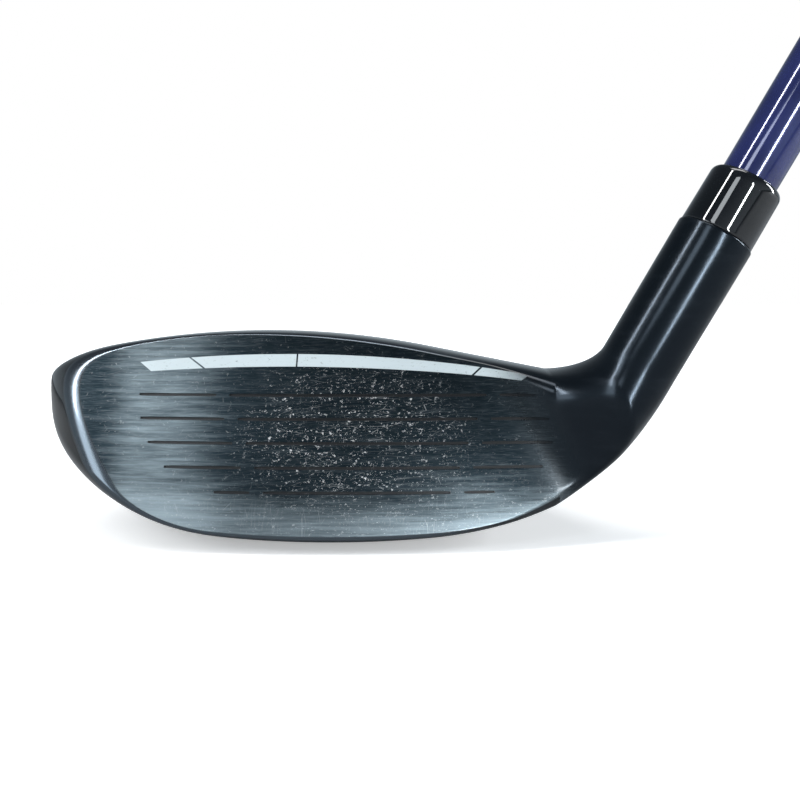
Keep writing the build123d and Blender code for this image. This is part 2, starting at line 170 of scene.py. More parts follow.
# %% Face surface and the soft join
FACE_Y, FACE_MID_Z = -15.6, 17.0
FACE_CURVE_R = 300.0                          # of both bulge and roll
FACE_HEEL_X, FACE_HEEL_SLANT = 33.0, 0.6      # where the face runs out into the heel, and its slant
RUNOUT_R, RUNOUT_SOFT = 9.0, 9.0
RIM_SOFT, HEEL_SOFT = 1.5, 5.2                # width of the join round the rim, and more at the heel


def face_y(x, z):
    past_heel = x - FACE_HEEL_X + FACE_HEEL_SLANT * (z - FACE_MID_Z)
    runout = soft_max(past_heel, 0.0, RUNOUT_SOFT) ** 2 / (2 * RUNOUT_R)
    runout *= smooth_step(-RUNOUT_SOFT, -4.0, past_heel)
    curve = (x**2 + (z - FACE_MID_Z) ** 2) / (2 * FACE_CURVE_R)
    return FACE_Y + z * math.tan(LOFT) + curve - runout


def pressed(x, y, z):
    """y of the finished surface: the body, or the face where that lies further back."""
    return soft_max(y, face_y(x, z), RIM_SOFT + HEEL_SOFT * smooth_step(24.0, 42.0, x))


print("middle of the face at y", round(float(face_y(0.0, FACE_MID_Z)), 2), "mm")


# %% [markdown]
# Points are spaced by how much the outline bends: few on the flat face and many round its rim. The
# same number in each section lets them be joined as a clean grid of four-sided faces.

# %% Sections with evenly shared bends
POINTS_ROUND = 300
FINE_RIM = 7.0          # how strongly a bend draws points
BEND_BLUR = 12          # points over which a bend is spread


def spaced(points):
    """The closed outline again, with POINTS_ROUND points, closer together where it bends."""
    leg = np.roll(points, -1, axis=0) - points
    length = np.maximum(np.linalg.norm(leg, axis=1), 1e-9)
    way = leg / length[:, None]
    bend = np.linalg.norm(way - np.roll(way, 1, axis=0), axis=1)
    wrapped = np.r_[bend[-BEND_BLUR:], bend, bend[:BEND_BLUR]]
    blurred = np.convolve(wrapped, np.hanning(2 * BEND_BLUR + 1) / BEND_BLUR, "same")
    cost = length + FINE_RIM * blurred[BEND_BLUR:-BEND_BLUR]
    total = np.r_[0.0, np.cumsum(cost)]
    wanted = np.linspace(0.0, total[-1], POINTS_ROUND + 1)[:-1]
    closed = np.vstack([points, points[:1]])
    return np.stack([np.interp(wanted, total, closed[:, k]) for k in range(3)], axis=1)


def upright_row(x):
    y, z = section(profile(x))
    return spaced(np.stack([np.full_like(y, x), pressed(x, y, z), z], axis=1))


# %% Rows from the toe to the heel
TOE_FLAT = 0.02         # the first section stands this far in, because the tip itself has no size
UPRIGHT_ROWS = 300
ROWS = [upright_row(TOE[0] + TOE_FLAT + (HEEL_X - TOE[0]) * (1.0 - math.cos(turn)))
        for turn in np.linspace(0.0, math.pi / 2, UPRIGHT_ROWS)]
print(len(ROWS), "upright sections of", POINTS_ROUND, "points")

# %% [markdown]
# ## The neck
# Past the heel, the sections turn about a pivot in the crotch, the inside corner between crown and
# hosel, like the leaves of a fan, while their shape changes to the round of the hosel.

# %% Rows that turn up into the hosel
START = profile(np.float64(HEEL_X))
PIVOT_Z = START["top"] + CROTCH_R
AXIS_R = math.sin(LIE) * (SHAFT_X - HEEL_X) + math.cos(LIE) * PIVOT_Z
ROUND = {
    "top": PIVOT_Z - AXIS_R + HOSEL_R, "bottom": PIVOT_Z - AXIS_R - HOSEL_R,
    "front": SHAFT_Y - HOSEL_R, "rear": SHAFT_Y + HOSEL_R, "top_y": SHAFT_Y, "bottom_y": SHAFT_Y,
    "front_z": PIVOT_Z - AXIS_R, "rear_z": PIVOT_Z - AXIS_R,
}


HEEL_FILL = 1.75        # how early the heel's outer side turns round
FAN_ROWS = 90


def fan_row(way):
    """The section that stands a share of the lie angle round the pivot."""
    gentle = smooth_step(0.0, 1.0, way)
    early = 1.0 - (1.0 - way) ** HEEL_FILL
    pace = {"top": way, "bottom": early, "rear": early, "front_z": early, "rear_z": early}
    p = {k: START[k] + (ROUND[k] - START[k]) * pace.get(k, gentle) for k in START}
    y, z = section(p, [a + (2.0 - a) * gentle for a in FILL])
    x = HEEL_X + (PIVOT_Z - z) * math.sin(way * LIE)
    z = PIVOT_Z - (PIVOT_Z - z) * math.cos(way * LIE)
    return spaced(np.stack([x, pressed(x, y, z), z], axis=1))


ROWS += [fan_row(way) for way in np.linspace(0.0, 1.0, FAN_ROWS + 1)[1:]]
ALONG = np.array((math.cos(LIE), 0.0, math.sin(LIE)))
AXIS_FOOT = np.array((SHAFT_X, SHAFT_Y, 0.0))
FAN_END = float(ALONG @ (np.array((HEEL_X, 0.0, PIVOT_Z)) - (SHAFT_X, 0.0, 0.0)))
print("straight hosel:", round(HOSEL_TOP - FAN_END, 2), "mm")

# %% Straight hosel, its small round and its bore
HOSEL_ROUND = 0.45
BORE_R = 4.72
BORE_SEEN = 2.0         # depth of the bore in this mesh; the shaft fills the rest
SETTLE = 3.0            # length over which the last turned section becomes a true ring
SPOKES = ROWS[-1] - AXIS_FOOT - ALONG * FAN_END
OUTWARD = SPOKES / np.linalg.norm(SPOKES, axis=1)[:, None]


def hosel_row(distance, radius):
    """The last turned section again, moved up the shaft's axis and made round."""
    settled = min((distance - FAN_END) / SETTLE, 1.0)
    return AXIS_FOOT + ALONG * distance + OUTWARD * radius * settled + SPOKES * (1.0 - settled)


ROWS += [hosel_row(d, HOSEL_R) for d in np.linspace(FAN_END, HOSEL_TOP - HOSEL_ROUND, 14)[1:]]
ROWS += [hosel_row(HOSEL_TOP - HOSEL_ROUND * (1 - math.sin(a)), HOSEL_R - HOSEL_ROUND * (1 - math.cos(a)))
         for a in np.linspace(0.2, math.pi / 2, 6)]
ROWS += [hosel_row(HOSEL_TOP, radius) for radius in (5.6, BORE_R)]
ROWS += [hosel_row(HOSEL_TOP - BORE_SEEN, BORE_R)]
print(len(ROWS), "rows in all")


# %% A mesh from rows
def grid_mesh(name, rows, closed=True, caps=True):
    """Object whose faces join neighbouring rows, with a point closing each end when caps is true."""
    rows = np.asarray(rows) * MM
    count, around = rows.shape[:2]
    i, j = np.meshgrid(np.arange(count - 1), np.arange(around if closed else around - 1), indexing="ij")
    k = (j + 1) % around
    quads = np.stack([i * around + j, i * around + k, (i + 1) * around + k, (i + 1) * around + j], -1)
    faces = quads.reshape(-1, 4).tolist()
    points = rows.reshape(-1, 3)
    if caps:
        ends = np.stack([rows[0].mean(axis=0), rows[-1].mean(axis=0)])
        low, high = len(points), len(points) + 1
        last = (count - 1) * around
        faces += [[low, (j + 1) % around, j] for j in range(around)]
        faces += [[high, last + j, last + (j + 1) % around] for j in range(around)]
        points = np.vstack([points, ends])
    mesh = bpy.data.meshes.new(name)
    mesh.from_pydata(points.tolist(), [], faces)
    made = bpy.data.objects.new(name, mesh)
    bpy.context.scene.collection.objects.link(made)
    bm = bmesh.new()
    bm.from_mesh(mesh)
    bmesh.ops.recalc_face_normals(bm, faces=bm.faces)
    bm.to_mesh(mesh)
    bm.free()
    mesh.shade_smooth()
    return made


head = grid_mesh("head_skin", ROWS)
print("head skin:", len(head.data.vertices), "points")

# %% [markdown]
# ## Score lines, slot, badge and weight port
# Real score lines are cut, so they're cut here as well: one thin cutter for each stretch, which follows
# the face and goes 0.3 mm deep. The same boolean opens the flex slot, the badge's shallow recess and
# the pocket of the sole weight, whose place and direction come from the part's own joint.

# %% Score line cutters
LINE_TOP_Z = 25.4
LINE_PITCH = 3.9
LINE_TOE_ENDS = (-35.2, -34.7, -33.1, -30.0, -21.3)
LINE_HEEL_ENDS = (32.8, 35.0, 35.5, 33.8, 25.5)
LINE_HALF, LINE_DEPTH = 0.3, 0.3
MIDDLE_TOE_X, MIDDLE_HEEL_X = -19.4, 24.5     # ends of the top line's middle stretch
MIDDLE_STEP = 1.6                             # each line below has a middle that much shorter at each end
LINE_GAP = 2.3                                # plain steel between two stretches
CUTTERS = []


def line_cutter(x0, x1, z):
    """A thin bar that follows the face, a little narrower at its bottom and at its two ends."""
    stations = np.linspace(x0, x1, max(4, int((x1 - x0) / 1.2)))
    rows = []
    for n, x in enumerate(stations):
        half = LINE_HALF if 0 < n < len(stations) - 1 else 0.22
        corners = ((-1.5, -half), (-1.5, half), (LINE_DEPTH, 0.8 * half), (LINE_DEPTH, -0.8 * half))
        rows.append([(x, face_y(x, z + dz) + dy, z + dz) for dy, dz in corners])
    CUTTERS.append(grid_mesh("cutter", rows))


for line, (toe_end, heel_end) in enumerate(zip(LINE_TOE_ENDS, LINE_HEEL_ENDS)):
    inner_toe, inner_heel = MIDDLE_TOE_X + MIDDLE_STEP * line, MIDDLE_HEEL_X - MIDDLE_STEP * line
    stretches = ((toe_end, inner_toe - LINE_GAP), (inner_toe, inner_heel), (inner_heel + LINE_GAP, heel_end))
    for x0, x1 in stretches:
        line_cutter(x0, x1, LINE_TOP_Z - line * LINE_PITCH)
print(len(CUTTERS), "score line stretches")

# %% Sole cutters
JOINT = next(joint for joint in frame["joints"] if joint["name"] == "screw_turn")
PORT_OUT = np.array(JOINT["axis"])
PORT_FOOT = np.array(JOINT["pos_m"]) / MM
SIDE = np.array((1.0, 0.0, 0.0))
OTHER = np.cross(PORT_OUT, SIDE)
PORT_MOUTH_R, PORT_R, PORT_DEPTH = 8.0, 7.58, 5.9
THREAD_R, THREAD_DEPTH = 2.6, 16.5
HOLES_X = -2.0                                # middle of both long holes
BELOW_SOLE = -5.0


def ring_rows(levels, count=96):
    """Rings about the port's axis, from (distance outwards, radius) pairs."""
    angles = np.linspace(0, 2 * math.pi, count, endpoint=False)
    return [[PORT_FOOT + PORT_OUT * d + r * (SIDE * math.cos(a) + OTHER * math.sin(a)) for a in angles]
            for d, r in levels]


def long_hole(length, width, y, top):
    """A round-ended prism along X, for the slot and the badge."""
    turn = np.linspace(-math.pi / 2, math.pi / 2, 24)
    reach, radius = (length - width) / 2, width / 2
    rows = []
    for z in (BELOW_SOLE, top):
        right = [(HOLES_X + reach + radius * math.cos(a), y + radius * math.sin(a), z) for a in turn]
        left = [(HOLES_X - reach - radius * math.cos(a), y - radius * math.sin(a), z) for a in turn]
        rows.append(right + left)
    CUTTERS.append(grid_mesh("cutter", rows))


CUTTERS.append(grid_mesh("cutter", ring_rows([
    (6.0, PORT_MOUTH_R), (0.4, PORT_MOUTH_R), (-0.1, PORT_R + 0.02),
    (-PORT_DEPTH, PORT_R), (-PORT_DEPTH, THREAD_R), (-THREAD_DEPTH, THREAD_R),
])))
long_hole(length=54.1, width=3.1, y=-5.0, top=7.0)
long_hole(length=30.1, width=8.1, y=12.0, top=4.0)
print(len(CUTTERS), "cutters")


# %% Cut them out of the head
def join(objects):
    bpy.ops.object.select_all(action="DESELECT")
    for item in objects:
        item.select_set(True)
    bpy.context.view_layer.objects.active = objects[0]
    bpy.ops.object.join()
    return bpy.context.view_layer.objects.active


cutter = join(CUTTERS)
cut = head.modifiers.new("cut", "BOOLEAN")
cut.operation, cut.solver, cut.object = "DIFFERENCE", "MANIFOLD", cutter
bpy.context.view_layer.objects.active = head
bpy.ops.object.modifier_apply(modifier=cut.name)
bpy.data.objects.remove(cutter)
head.data.shade_smooth()
head.data.set_sharp_from_angle(angle=math.radians(38))
print("head skin after the cuts:", len(head.data.vertices), "points")

# %% [markdown]
# ## What lies where
# The finish changes over the head: brushed on the face, polished round its rim, satin on the neck and
# glossy elsewhere. Two numbers are stored on every point for the materials to read. One says how far
# inside the face's outline the point lies, and the other how deep it lies in a score line.

# %% Distances stored on the points
def front_of_body(x, z):
    """y of the head's rounded front, before the face is pressed in."""
    p = profile(x)
    up = np.clip((z - p["front_z"]) / (p["top"] - p["front_z"]), 0.0, 1.0) ** FILL[0]
    down = np.clip((p["front_z"] - z) / (p["front_z"] - p["bottom"]), 0.0, 1.0) ** FILL[3]
    above = p["top_y"] - (p["top_y"] - p["front"]) * (1.0 - up) ** (1.0 / FILL[0])
    below = p["bottom_y"] - (p["bottom_y"] - p["front"]) * (1.0 - down) ** (1.0 / FILL[3])
    return np.where(z > p["front_z"], above, below)


def points_of(item):
    flat = np.empty(len(item.data.vertices) * 3)
    item.data.vertices.foreach_get("co", flat)
    return flat.reshape(-1, 3) / MM


def store(item, name, values):
    layer = item.data.attributes.new(name, "FLOAT", "POINT")
    layer.data.foreach_set("value", values.astype(np.float32))


OUTSIDE, DEEP_INSIDE = -3.0, 9.0    # least and most that is stored
SAFE_TOE_X = TOE[0] + 0.03          # just inside the tip, where a section still has a size
FACE_END_X = 36.5
at = points_of(head)
x_safe = np.clip(at[:, 0], SAFE_TOE_X, HEEL_X)
inside = face_y(x_safe, at[:, 2]) - front_of_body(x_safe, at[:, 2])
behind = at[:, 1] - face_y(at[:, 0], at[:, 2])
cut_depth = np.clip(behind - 0.02, 0.0, LINE_DEPTH) / (LINE_DEPTH - 0.02)
store(head, "inside_face", np.where(behind > 3.0, OUTSIDE, np.clip(inside, OUTSIDE, DEEP_INSIDE)))
store(head, "line_depth", np.where((inside > 1.0) & (at[:, 0] < FACE_END_X), cut_depth, 0.0))
print("points on the face:", int((inside > 1.0).sum()))

# %% [markdown]
# The steel face, the crown and the body are separate pieces on the real club. The skin was made as one
# so that light runs over it without a break. Now it's split along the joints, and each piece keeps the
# direction its surface had in the whole skin.

# %% Split the skin into body, face and crown
def part_of(whole, name, wanted):
    """A new piece with only the wanted faces, and the whole skin's own normals."""
    piece = bpy.data.objects.new(name, whole.data.copy())
    bpy.context.scene.collection.objects.link(piece)
    corner = np.empty(len(whole.data.loops) * 3, np.float32)
    whole.data.corner_normals.foreach_get("vector", corner)
    corner = corner.reshape(-1, 3)
    keep = np.concatenate([np.arange(f.loop_start, f.loop_start + f.loop_total)
                           for f in whole.data.polygons if wanted[f.index]])
    bm = bmesh.new()
    bm.from_mesh(piece.data)
    bm.faces.ensure_lookup_table()
    bmesh.ops.delete(bm, geom=[f for f in bm.faces if not wanted[f.index]], context="FACES")
    bm.to_mesh(piece.data)
    bm.free()
    piece.data.normals_split_custom_set(corner[keep].tolist())
    return piece


# %% Which faces belong to the face plate and which to the crown
PLATE_RIM, PLATE_HEEL_X = 1.9, 36.0
CROWN_TOE_X, CROWN_HEEL_X, CROWN_LOW_Z = -38.0, 25.0, 15.0
CROWN_FRONT_GAP, CROWN_REAR_GAP = 4.25, 4.5


def of_polygons(item, what):
    flat = np.empty(len(item.data.polygons) * 3)
    item.data.polygons.foreach_get(what, flat)
    return flat.reshape(-1, 3)


cx, cy, cz = (of_polygons(head, "center") / MM).T
upward = of_polygons(head, "normal")[:, 2]
cx_safe = np.clip(cx, SAFE_TOE_X, HEEL_X)
outline = profile(cx_safe)
in_face = face_y(cx, cz) - front_of_body(cx_safe, cz) > PLATE_RIM
in_face &= (cy - face_y(cx, cz) < 1.1 * LINE_DEPTH) & (cx < PLATE_HEEL_X)
in_crown = (upward > 0.1) & (cz > CROWN_LOW_Z) & (cx > CROWN_TOE_X) & (cx < CROWN_HEEL_X)
in_crown &= cy < outline["rear"] - CROWN_REAR_GAP
in_crown &= cy > face_y(cx_safe, outline["top"]) + CROWN_FRONT_GAP
face = part_of(head, "steel_face", in_face)
crown = part_of(head, "crown", in_crown)
body = part_of(head, "head_shell", ~in_face & ~in_crown)
bpy.data.objects.remove(head)
for piece, node, finish in ((body, "head_body", "body_satin"), (face, "face_plate", "face_steel"),
                            (crown, "crown_plate", "crown_gloss")):
    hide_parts(node)
    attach(piece, "club")
    print(piece.name, len(piece.data.polygons), "faces")

# %% [markdown]
# ## Shaft, ferrule and grip
# All of these are turned shapes about the shaft's axis. A profile of radius and distance is spun
# round it. A turned mesh keeps its normals smooth, so the lacquer's reflections stay straight.

# %% Turned pieces
ACROSS = np.array((0.0, 1.0, 0.0))
UPWARD = np.cross(ALONG, ACROSS)
BUTT = 1020.0                                 # ground to the butt end, along the axis
GRIP_START = BUTT - 268.0
CAP_START = BUTT - 6.0
SHAFT_TIP_R, SHAFT_GROWTH = 4.70, 2.9
SHAFT_TIP = HOSEL_TOP - 29.0
PARALLEL_TIP = 75.0
TAPER_START = SHAFT_TIP + PARALLEL_TIP


def shaft_radius(distance):
    taper = np.clip((distance - TAPER_START) / (CAP_START - TAPER_START), 0.0, 1.0)
    return SHAFT_TIP_R + SHAFT_GROWTH * taper


def ring_about_axis(count):
    """Unit spokes about the shaft's axis."""
    angles = np.linspace(0, 2 * math.pi, count, endpoint=False)
    return ACROSS * np.cos(angles)[:, None] + UPWARD * np.sin(angles)[:, None]


def turned(name, pairs, count=96, caps=False):
    """A piece spun round the shaft's axis, from (radius, distance) pairs."""
    ring = ring_about_axis(count)
    return grid_mesh(name, [AXIS_FOOT + ALONG * d + ring * r for r, d in pairs], caps=caps)


def rounded_over(radius, top, inward, downward, count):
    """(radius, distance) pairs of a quarter round that ends at top."""
    return [(radius - inward * (1 - math.cos(a)), top - downward * (1 - math.sin(a)))
            for a in np.linspace(0.1, math.pi / 2, count)]


def stands_for(piece, node):
    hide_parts(node)
    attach(piece, "club")


# %% Shaft and ferrule
shaft_stations = np.r_[np.linspace(SHAFT_TIP, GRIP_START + 4, 60), CAP_START]
shaft = turned("shaft_tube", [(shaft_radius(d), d) for d in shaft_stations], caps=True)
stands_for(shaft, "shaft")
FERRULE_R, FERRULE_TOP_R, FERRULE_ROUND = 6.18, 6.02, 1.1
FERRULE_TOP = HOSEL_TOP + 10.0
ferrule_profile = [(BORE_R, HOSEL_TOP), (FERRULE_R - 0.1, HOSEL_TOP), (FERRULE_R - 0.02, HOSEL_TOP + 0.08),
                   (FERRULE_R, HOSEL_TOP + 0.2)]
ferrule_profile += [(FERRULE_R - 0.14 * way, HOSEL_TOP + 8.9 * way) for way in np.linspace(0.05, 1.0, 12)]
ferrule_profile += rounded_over(FERRULE_TOP_R, FERRULE_TOP, FERRULE_ROUND, FERRULE_ROUND, 10)
ferrule_profile += [(BORE_R + 0.06, FERRULE_TOP - 0.02), (BORE_R, FERRULE_TOP - 0.15), (BORE_R, HOSEL_TOP)]
ferrule = turned("ferrule_ring", ferrule_profile, count=128)
ferrule.data.set_sharp_from_angle(angle=math.radians(50))
stands_for(ferrule, "ferrule")
print("shaft radius at the ferrule", shaft_radius(FERRULE_TOP), "mm")

# %% [markdown]
# A rubber grip is moulded with a fine pattern, so that it holds in a wet hand: bands of small pits with
# plain rings between. The pits are pressed into the mesh itself, row by row, because a grip is looked
# at closely and its outline should show them.

# %% Grip with moulded pits
GRIP_ROUND = 168                              # points round the grip
GRIP_STEP = 0.6
GRIP_MOUTH_R, GRIP_GROWTH = 8.9, 3.5
PIT_PITCH, PIT_DEPTH, PITS_ROUND = 3.4, 0.5, 22
PLAIN_MOUTH, PLAIN_BUTT = 9.0, 5.0            # lengths without pits at both ends
RING_PITCH, RING_HALF, RING_GROOVE = 52.0, 2.4, 0.45
SPIN = ring_about_axis(GRIP_ROUND)
PIT_WAVE = np.cos(PITS_ROUND * np.linspace(0, 2 * math.pi, GRIP_ROUND, endpoint=False))


def grip_row(distance):
    """One ring of points, with its pits and its plain rings pressed in."""
    along = distance - GRIP_START
    radius = GRIP_MOUTH_R + GRIP_GROWTH * along / (CAP_START - GRIP_START)
    radius -= 0.6 * max(1.0 - along / 3.0, 0.0)
    band = smooth_step(0.0, 3.0, along - PLAIN_MOUTH)
    band *= smooth_step(0.0, 3.0, CAP_START - PLAIN_BUTT - distance)
    from_ring = abs(along % RING_PITCH - RING_PITCH / 2)
    band *= smooth_step(0.0, 1.0, from_ring - RING_HALF + 0.2)
    groove = RING_GROOVE * (1.0 - smooth_step(0.0, 0.8, abs(from_ring - RING_HALF - 0.2)))
    waves = 0.5 * np.abs(math.cos(2 * math.pi * along / PIT_PITCH) + PIT_WAVE)
    depth = PIT_DEPTH * band * smooth_step(0.3, 0.6, waves) + groove
    return AXIS_FOOT + ALONG * distance + SPIN * (radius - depth)[:, None]


stations = np.arange(GRIP_START, CAP_START, GRIP_STEP)
grip_rows = [grip_row(d) for d in stations]
last_spokes = grip_rows[-1] - AXIS_FOOT - ALONG * stations[-1]
MOUTH_CENTRE = AXIS_FOOT + ALONG * GRIP_START
grip_rows.insert(0, MOUTH_CENTRE + 0.86 * (grip_rows[0] - MOUTH_CENTRE))
grip_rows.append(AXIS_FOOT + ALONG * CAP_START + 0.99 * last_spokes)
grip = grid_mesh("grip_rubber_sleeve", grip_rows, caps=False)
stands_for(grip, "grip_sleeve")
print("grip:", len(grip.data.vertices), "points")

# %% Grip cap with its vent hole
CAP_R = 13.28
VENT_R = MOUNTS["vent_bore"]["dims"]["r_mm"]
cap_profile = [(8.0, CAP_START), (CAP_R - 0.58, CAP_START), (CAP_R - 0.28, CAP_START + 0.12),
               (CAP_R - 0.06, CAP_START + 0.6), (CAP_R, CAP_START + 1.5)]
cap_profile += [(CAP_R - 0.02 - 0.5 * way**2, CAP_START + 1.5 + 2.6 * way) for way in (0.25, 0.5, 0.75, 1.0)]
cap_profile += rounded_over(CAP_R - 0.52, BUTT, 2.9, 1.9, 12)
cap_profile += [(8.6, BUTT - 0.02), (8.3, BUTT - 0.35), (7.7, BUTT - 0.4), (7.4, BUTT - 0.03)]
cap_profile += [(VENT_R + 1.4, BUTT - 0.02), (VENT_R + 0.5, BUTT - 0.25), (VENT_R, BUTT - 0.7)]
cap_profile += [(VENT_R, CAP_START), (8.0, CAP_START)]
cap = turned("grip_end_cap", cap_profile, count=128)
cap.data.set_sharp_from_angle(angle=math.radians(50))
stands_for(cap, "grip_cap")
print("grip cap:", len(cap.data.vertices), "points")

# %% [markdown]
# ## Shared effects
# Several finishes carry the same marks of use and making: brushing, fine scratches, small nicks, dust
# and the slight ripple of sprayed lacquer. Each one is a node group with named inputs and outputs, made
# once and used with its own values in every material. All of them measure in millimetres.

# %% Node helpers
def add(tree, kind, ins=None, **settings):
    made = tree.nodes.new("ShaderNode" + kind)
    for key, value in settings.items():
        setattr(made, key, value)
    for key, value in (ins or {}).items():
        if isinstance(value, bpy.types.NodeSocket):
            tree.links.new(value, made.inputs[key])
        else:
            made.inputs[key].default_value = value
    return made


def calc(tree, operation, *values, clamp=False):
    return add(tree, "Math", dict(enumerate(values)), operation=operation, use_clamp=clamp).outputs[0]


def plus(tree, a, b):
    return calc(tree, "ADD", a, b)


def minus(tree, a, b):
    return calc(tree, "SUBTRACT", a, b)


def times(tree, *values):
    """All the values multiplied together."""
    product = values[0]
    for value in values[1:]:
        product = calc(tree, "MULTIPLY", product, value)
    return product


def largest(tree, a, b, clamp=False):
    return calc(tree, "MAXIMUM", a, b, clamp=clamp)


def step(tree, value, low, high, to_low=0.0, to_high=1.0):
    """Value taken smoothly from low..high to to_low..to_high."""
    return add(tree, "MapRange", {"Value": value, "From Min": low, "From Max": high, "To Min": to_low,
                                  "To Max": to_high}, interpolation_type="SMOOTHSTEP").outputs[0]


def new_group(name, inputs, outputs):
    tree = bpy.data.node_groups.new(name, "ShaderNodeTree")
    for socket, kind, value in inputs:
        made = tree.interface.new_socket(socket, in_out="INPUT", socket_type="NodeSocket" + kind)
        if kind == "Float":
            made.default_value = value
    for socket, kind in outputs:
        tree.interface.new_socket(socket, in_out="OUTPUT", socket_type="NodeSocket" + kind)
    return tree, tree.nodes.new("NodeGroupInput").outputs, tree.nodes.new("NodeGroupOutput")


def use(tree, group, **ins):
    made = tree.nodes.new("ShaderNodeGroup")
    made.node_tree = group
    for key, value in ins.items():
        key = key.replace("_", " ")
        if isinstance(value, bpy.types.NodeSocket):
            tree.links.new(value, made.inputs[key])
        else:
            made.inputs[key].default_value = value
    return made.outputs


def stretch(tree, vector, factors):
    return add(tree, "VectorMath", {0: vector, 1: factors}, operation="MULTIPLY").outputs[0]


def noise(tree, vector, scale, detail=2.0, rough=0.5):
    settings = {"Vector": vector, "Scale": scale, "Detail": detail, "Roughness": rough}
    return add(tree, "TexNoise", settings).outputs[0]


# %% Place in millimetres
PLACE, _, out = new_group("place_in_mm", [], [("Place", "Vector")])
where = add(PLACE, "TexCoord").outputs["Object"]
PLACE.links.new(stretch(PLACE, where, (1000.0, 1000.0, 1000.0)), out.inputs["Place"])

# %% Brushing: long streaks along X
BRUSHING, given, out = new_group("brushing", [("Place", "Vector", 0), ("Fineness", "Float", 8.0),
                                              ("Length", "Float", 12.0)], [("Height", "Float")])
along = calc(BRUSHING, "DIVIDE", given["Fineness"], given["Length"])
streaks = add(BRUSHING, "CombineXYZ", {0: along, 1: 0.4, 2: given["Fineness"]}).outputs[0]
grain = noise(BRUSHING, stretch(BRUSHING, given["Place"], streaks), 1.0, 3.0, 0.65)
BRUSHING.links.new(grain, out.inputs["Height"])

# %% Nicks: the sharp tops of a fine noise, in patches
NICKS, given, out = new_group("nicks", [("Place", "Vector", 0), ("Density", "Float", 0.5),
                                        ("Size", "Float", 0.3)], [("Mask", "Float")])
speck = noise(NICKS, given["Place"], calc(NICKS, "DIVIDE", 1.0, given["Size"]), 5.0, 0.75)
least = minus(NICKS, 0.76, times(NICKS, given["Density"], 0.16))
chips = step(NICKS, minus(NICKS, speck, least), 0.0, 0.02)
patches = step(NICKS, noise(NICKS, given["Place"], 0.45, 3.0, 0.7), 0.36, 0.6)
NICKS.links.new(times(NICKS, chips, patches), out.inputs["Mask"])

# %% Scratches: the thin edges of long cells, turned to an angle
SCRATCHES, given, out = new_group("scratches", [("Place", "Vector", 0), ("Amount", "Float", 0.5),
                                                ("Angle", "Float", 0.0)], [("Mask", "Float")])
turned_place = add(SCRATCHES, "VectorRotate", {"Vector": given["Place"], "Angle": given["Angle"]},
                   rotation_type="Y_AXIS").outputs[0]
cells = {"Vector": stretch(SCRATCHES, turned_place, (0.16, 0.1, 1.5)), "Scale": 0.8}
to_edge = add(SCRATCHES, "TexVoronoi", cells, feature="DISTANCE_TO_EDGE").outputs["Distance"]
thin = step(SCRATCHES, to_edge, 0.0, 0.014, 1.0, 0.0)
least = minus(SCRATCHES, 0.75, times(SCRATCHES, given["Amount"], 0.4))
patches = step(SCRATCHES, noise(SCRATCHES, given["Place"], 0.35, 2.0), least, 0.8)
SCRATCHES.links.new(times(SCRATCHES, thin, patches), out.inputs["Mask"])

# %% Ripple of sprayed lacquer
RIPPLE, given, out = new_group("lacquer_ripple", [("Place", "Vector", 0), ("Size", "Float", 2.0)],
                               [("Height", "Float")])
wave = noise(RIPPLE, given["Place"], calc(RIPPLE, "DIVIDE", 1.0, given["Size"]), 1.5, 0.4)
RIPPLE.links.new(wave, out.inputs["Height"])

# %% Dust: specks and a faint haze
DUST, given, out = new_group("dust", [("Place", "Vector", 0), ("Amount", "Float", 0.3)], [("Mask", "Float")])
to_speck = add(DUST, "TexVoronoi", {"Vector": given["Place"], "Scale": 1.7}).outputs["Distance"]
specks = step(DUST, to_speck, 0.02, 0.07, 1.0, 0.0)
haze = step(DUST, noise(DUST, given["Place"], 0.12, 4.0, 0.6), 0.45, 0.75)
dusty = largest(DUST, specks, times(DUST, haze, 0.35))
DUST.links.new(times(DUST, dusty, given["Amount"]), out.inputs["Mask"])
print("effect groups:", [group.name for group in bpy.data.node_groups])


# %% A material to start from
def new_material(name, **constants):
    """Material with its shader, its tree and its place in millimetres."""
    made = bpy.data.materials.new(name)
    made.use_nodes = True
    tree = made.node_tree
    shader = tree.nodes["Principled BSDF"]
    for key, value in constants.items():
        shader.inputs[key.replace("_", " ")].default_value = value
    return made, tree, shader, use(tree, PLACE)["Place"]


def mix_colour(tree, share, a, b):
    made = tree.nodes.new("ShaderNodeMix")
    made.data_type = "RGBA"
    for index, value in ((0, share), (6, a), (7, b)):
        if isinstance(value, bpy.types.NodeSocket):
            tree.links.new(value, made.inputs[index])
        else:
            made.inputs[index].default_value = value if index == 0 else (*value, 1.0)
    return made.outputs[2]


def mix_value(tree, share, a, b):
    return add(tree, "MapRange", {"Value": share, "To Min": a, "To Max": b}).outputs[0]


def bump(tree, height, strength, distance=0.05):
    return add(tree, "Bump", {"Height": height, "Strength": strength, "Distance": distance * MM}).outputs[0]
